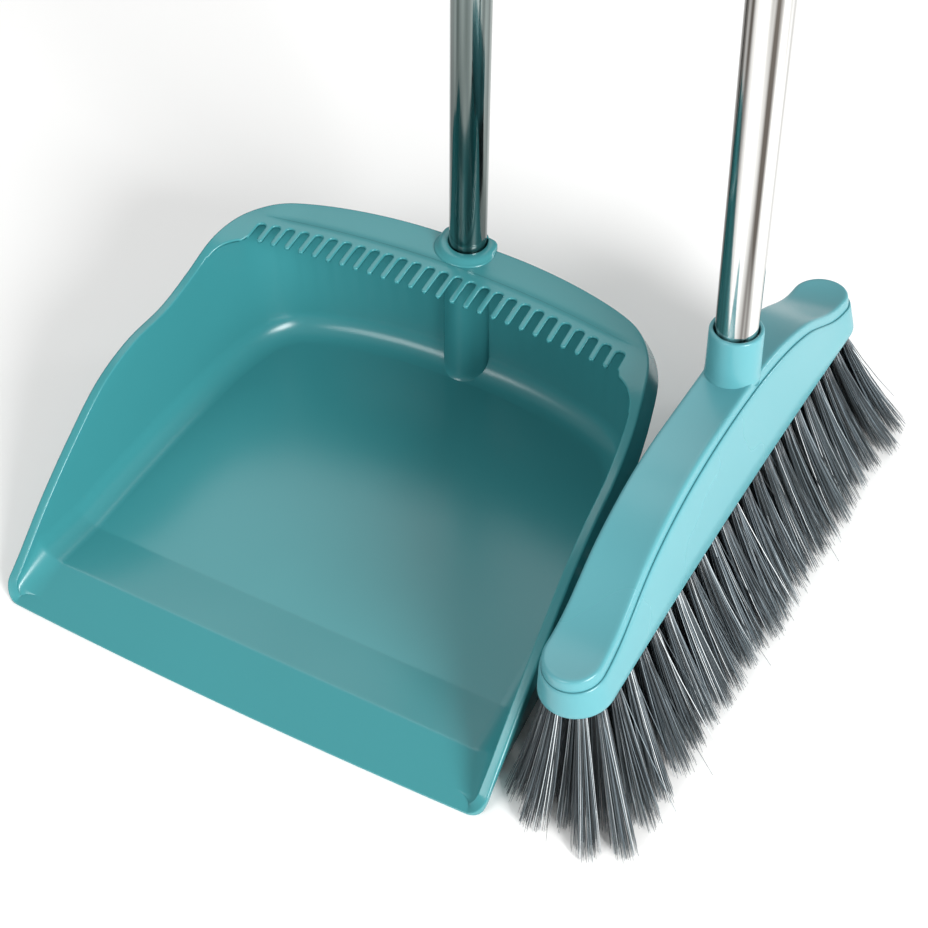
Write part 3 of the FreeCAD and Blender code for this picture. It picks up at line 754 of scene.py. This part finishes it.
def bridge_rows(points, faces, left, right, height, columns=14):
    """Rows of faces between matching points on the two sides."""
    rows = []
    for a, b in zip(left, right):
        if a == b:
            rows.append([a] * (columns + 1))
            continue
        row = [a]
        for i in range(1, columns):
            x = points[a][0] + (points[b][0] - points[a][0]) * i / columns
            row.append(len(points))
            points.append((x, points[a][1], height(points[a][1])))
        rows.append(row + [b])
    for low, high in zip(rows, rows[1:]):
        for i in range(columns):
            face = []
            for number in (low[i], low[i + 1], high[i + 1], high[i]):
                if number not in face:
                    face.append(number)
            if len(face) > 2:
                faces.append(tuple(face))


def make_pan():
    """Scoop, rim and shelf as one moulding."""
    stations = rim_stations()
    points = []
    faces = []
    right = []
    for station in stations:
        section = rim_section(*station)
        right.append(list(range(len(points), len(points) + len(section))))
        points += section
    left = [right[0]]
    for column in right[1:-1]:
        left.append(list(range(len(points), len(points) + len(column))))
        points += [(-points[i][0], points[i][1], points[i][2]) for i in column]
    left.append(right[-1])
    rear = sum(1 for station in stations if station[1] > SHELF_START - 0.5) - 1
    for side in (right, left):
        for j in range(len(side) - 1):
            for k in range(len(side[0]) - 1):
                if j < rear and WALL_TOP <= k < STRIP_OUTER:
                    continue
                faces.append((side[j][k], side[j][k + 1], side[j + 1][k + 1], side[j + 1][k]))
    bridge_rows(points, faces, [c[0] for c in left], [c[0] for c in right], floor_height)
    bridge_rows(points, faces, [c[-1] for c in left], [c[-1] for c in right], lambda y: 0.0)

    # shelf: an edge profile along the comb, the top and the underside
    path = comb_path()
    levels = [(0.0, COMB_THICK)]
    for angle in (0, 30, 60, 90):
        turn = math.radians(angle)
        levels.append((COMB_EDGE * (1 - math.cos(turn)), COMB_EDGE * (1 - math.sin(turn))))
    rails = []
    for number, (x, y, out) in enumerate(path):
        if number in (0, len(path) - 1):
            column = right[rear] if number == 0 else left[rear]
            rails.append(column[WALL_TOP:STRIP_INNER + 1])
            continue
        rail = []
        for inset, drop in levels:
            place = Vector((x, y)) + out * inset
            rail.append(len(points))
            points.append((place.x, place.y, rim_height(x, y) - drop))
        rails.append(rail)
    for a, b in zip(rails, rails[1:]):
        for k in range(TOP_PARTS):
            faces.append((a[k], a[k + 1], b[k + 1], b[k]))
    around = [right[j][STRIP_OUTER] for j in range(rear, -1, -1)]
    around += [left[j][STRIP_OUTER] for j in range(1, rear + 1)]
    loop = [right[rear][STRIP_OUTER - 1]] + around + [left[rear][STRIP_OUTER - 1]]
    loop += [rail[-1] for rail in reversed(rails)]
    extra = []
    for i in range(-COMB_SLOTS, COMB_SLOTS + 1):
        x = i * COMB_PITCH / 2
        high = height_on(REAR_LINE, -abs(x)) - 5.0
        crease = slot_root(x) + CREASE_BEHIND
        for past in (-3.0, 0.0, CREASE_WIDTH / 2, CREASE_WIDTH, 6.0, 14.0):
            if crease + past < high:
                extra.append((x, crease + past))
    fill(points, loop, extra, rim_height, faces)
    under = [right[j][WALL_TOP] for j in range(rear, -1, -1)]
    under += [left[j][WALL_TOP] for j in range(1, rear + 1)]
    under += [rail[0] for rail in reversed(rails[1:-1])]
    fill(points, under, [], lambda x, y: rim_height(x, y) - SHELF_THICK, faces)
    moved = [(x, y - PAN_SHIFT, z) for x, y, z in points]
    pan = make_mesh("pan_moulding", moved, faces, PAN_PLASTIC)
    even_shading(pan)
    return pan


def even_shading(made):
    """Normals that follow the large faces, so that flats stay flat beside small radii."""
    weigh = made.modifiers.new("even_shading", "WEIGHTED_NORMAL")
    weigh.weight = 60
    weigh.keep_sharp = True
    return apply_modifiers(made)


HANDLE_Y = 274.1
LEAN_BACK = math.tan(math.radians(PAN_LEAN))
COLUMN_RADIUS = 12.2
BOSS_RADIUS = 17.2
BOSS_TOP = 106.1
BOSS_REAR = 8.6
BORE_RADIUS = 11.55


def stacked_rings(name, rings, material):
    """A closed solid through matching rings of points."""
    points = []
    faces = []
    count = len(rings[0])
    for ring in rings:
        points += ring
    for j in range(len(rings) - 1):
        for i in range(count):
            k = (i + 1) % count
            faces.append((j * count + i, j * count + k, (j + 1) * count + k, (j + 1) * count + i))
    faces.append(tuple(reversed(range(count))))
    faces.append(tuple(range((len(rings) - 1) * count, len(rings) * count)))
    return make_mesh(name, points, faces, material)


def make_socket_column():
    """Socket column down the rear wall, widening softly to the wall and to the floor."""
    rings = []
    heights = [(2.6, 3.6), (3.7, 2.6), (4.3, 1.8), (5.2, 1.1), (6.6, 0.5), (8.6, 0.15), (11.0, 0.0)]
    heights += [(11.0 + 9.0 * i, 0.0) for i in range(1, 11)]
    for z, flare in heights:
        ring = []
        for i in range(72):
            turn = 2 * math.pi * i / 72
            off_wall = abs(math.degrees(math.asin(math.sin(turn))))
            radius = COLUMN_RADIUS + flare + 3.0 * math.exp(-(off_wall / 24.0) ** 2)
            y = HANDLE_Y + LEAN_BACK * z + radius * math.sin(turn) - PAN_SHIFT
            ring.append((radius * math.cos(turn), y, z))
        rings.append(ring)
    return stacked_rings("pan_socket_column", rings, PAN_PLASTIC)


def boss_reach(turn):
    """Distance from the bore's axis to the boss's edge: round in front, square behind."""
    c, s = math.cos(turn), math.sin(turn)
    if s <= 0:
        return BOSS_RADIUS
    return ((abs(c) / BOSS_RADIUS) ** 4 + (s / BOSS_REAR) ** 4) ** (-1 / 4)


def make_boss():
    """Raised seat round the tube on the shelf, with the bore's dark gap inside it."""
    middle = HANDLE_Y + LEAN_BACK * BOSS_TOP
    rings = []
    for inset, z in ((-3.0, 102.0), (-3.0, 103.4), (-2.0, 103.7), (-1.2, 104.15), (-0.5, 104.7), (0.3, 105.3),
                     (1.1, 105.75), (2.0, 106.0), (2.9, BOSS_TOP)):
        ring = []
        for i in range(96):
            turn = 2 * math.pi * i / 96
            share = 1.0 if inset > 0 else ease((0.3 - math.sin(turn)) / 1.0)
            radius = boss_reach(turn) - inset * share
            ring.append((radius * math.cos(turn), middle + radius * math.sin(turn) - PAN_SHIFT, z))
        rings.append(ring)
    for radius, z in ((BORE_RADIUS + 0.7, BOSS_TOP), (BORE_RADIUS + 0.2, 105.9), (BORE_RADIUS, 105.4),
                      (BORE_RADIUS - 0.1, 103.0), (11.1, 95.0), (11.1, 92.0)):
        centre = HANDLE_Y + LEAN_BACK * z
        rings.append([(radius * math.cos(2 * math.pi * i / 96),
                       centre + radius * math.sin(2 * math.pi * i / 96) - PAN_SHIFT, z) for i in range(96)])
    return stacked_rings("pan_tube_boss", rings, PAN_PLASTIC)


def make_dust_pan():
    """The pan's moulding with its socket column and tube boss."""
    pieces = [make_pan(), make_socket_column(), make_boss()]
    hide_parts("pan_shell", "comb")
    for piece in pieces:
        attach(piece, "pan")


# ------------------------------------------------------------------ carried-over CAD pieces


def set_material(node, material):
    """Material on a CAD node."""
    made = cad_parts[node]
    made.data.materials.clear()
    made.data.materials.append(material)


def dress_cad_nodes():
    """Grips in the pan's plastic, bare tubes, grey plugs and joint rings, wire anchors."""
    for node in ("pan_grip", "broom_grip"):
        set_material(node, PAN_PLASTIC)
    for prefix, steel in (("pan", PAN_STEEL), ("broom", BROOM_STEEL)):
        set_material(prefix + "_lower_tube", steel)
        set_material(prefix + "_upper_tube", steel)
        for part in ("_foot_plug", "_joint_plug", "_joint_socket"):
            set_material(prefix + part, PLUG_PLASTIC)
    set_material("tuft_anchors", ANCHOR_STEEL)


# ------------------------------------------------------------------ stage

VIEW_AZIMUTH = 27.78
VIEW_ELEVATION = 50.10
VIEW_ROLL = -0.56
VIEW_DISTANCE = 0.8907
VIEW_AIM = Vector((0.0539, 0.0276, 0.050))
LENS = 61.92
WORLD_STRENGTH = 0.43
FLOOR_HALF = 6.0
FLOOR_LEVEL = -0.0005


def make_camera():
    """Camera at VIEW_DISTANCE from the aim, on the given bearing and elevation."""
    azimuth = math.radians(VIEW_AZIMUTH)
    elevation = math.radians(VIEW_ELEVATION)
    back = Vector((math.sin(azimuth) * math.cos(elevation), -math.cos(azimuth) * math.cos(elevation),
                   math.sin(elevation)))
    level = Vector((math.cos(azimuth), math.sin(azimuth), 0))
    up = back.cross(level)
    roll = math.radians(VIEW_ROLL)
    right = level * math.cos(roll) + up * math.sin(roll)
    top = up * math.cos(roll) - level * math.sin(roll)
    data = bpy.data.cameras.new("camera")
    data.lens = LENS
    data.sensor_width = 36.0
    camera = bpy.data.objects.new("camera", data)
    turn = Matrix((right, top, back)).transposed()
    camera.matrix_world = Matrix.Translation(VIEW_AIM + back * VIEW_DISTANCE) @ turn.to_4x4()
    SCENE.collection.objects.link(camera)
    SCENE.camera = camera


def area_light(name, place, aim, size, power):
    """A round white softbox: places in metres, power in watts."""
    data = bpy.data.lights.new(name, "AREA")
    data.shape = "DISK"
    data.size = size
    data.energy = power
    light = bpy.data.objects.new(name, data)
    light.location = place
    light.rotation_euler = (Vector(aim) - Vector(place)).to_track_quat("-Z", "Y").to_euler()
    SCENE.collection.objects.link(light)


def make_stage():
    """Even surroundings, a large floor and four softboxes."""
    world = bpy.data.worlds.new("studio")
    world.use_nodes = True
    world.node_tree.nodes["Background"].inputs["Color"].default_value = linear("#ffffff")
    world.node_tree.nodes["Background"].inputs["Strength"].default_value = WORLD_STRENGTH
    SCENE.world = world
    half = FLOOR_HALF
    data = bpy.data.meshes.new("studio_floor")
    corners = [(-half, -half), (half, -half), (half, half), (-half, half)]
    data.from_pydata([(x, y, FLOOR_LEVEL) for x, y in corners], [], [(0, 1, 2, 3)])
    data.materials.append(FLOOR_PAINT)
    floor = bpy.data.objects.new("studio_floor", data)
    SCENE.collection.objects.link(floor)
    area_light("key", (2.9, -1.45, 1.45), (0.05, 0.05, 0.05), 1.6, 162)
    area_light("front_fill", (-0.45, -1.5, 1.15), (0.0, 0.0, 0.1), 0.8, 11)
    area_light("rear_edge", (1.45, 1.35, 0.40), (0.0, 0.0, 0.1), 0.3, 6)
    area_light("overhead", (-1.2, 1.5, 2.9), (0.0, 0.0, 0.1), 2.6, 27)
    SCENE.view_settings.view_transform = "Standard"


make_camera()
make_stage()
dress_cad_nodes()
make_dust_pan()
make_head()
make_bristles()
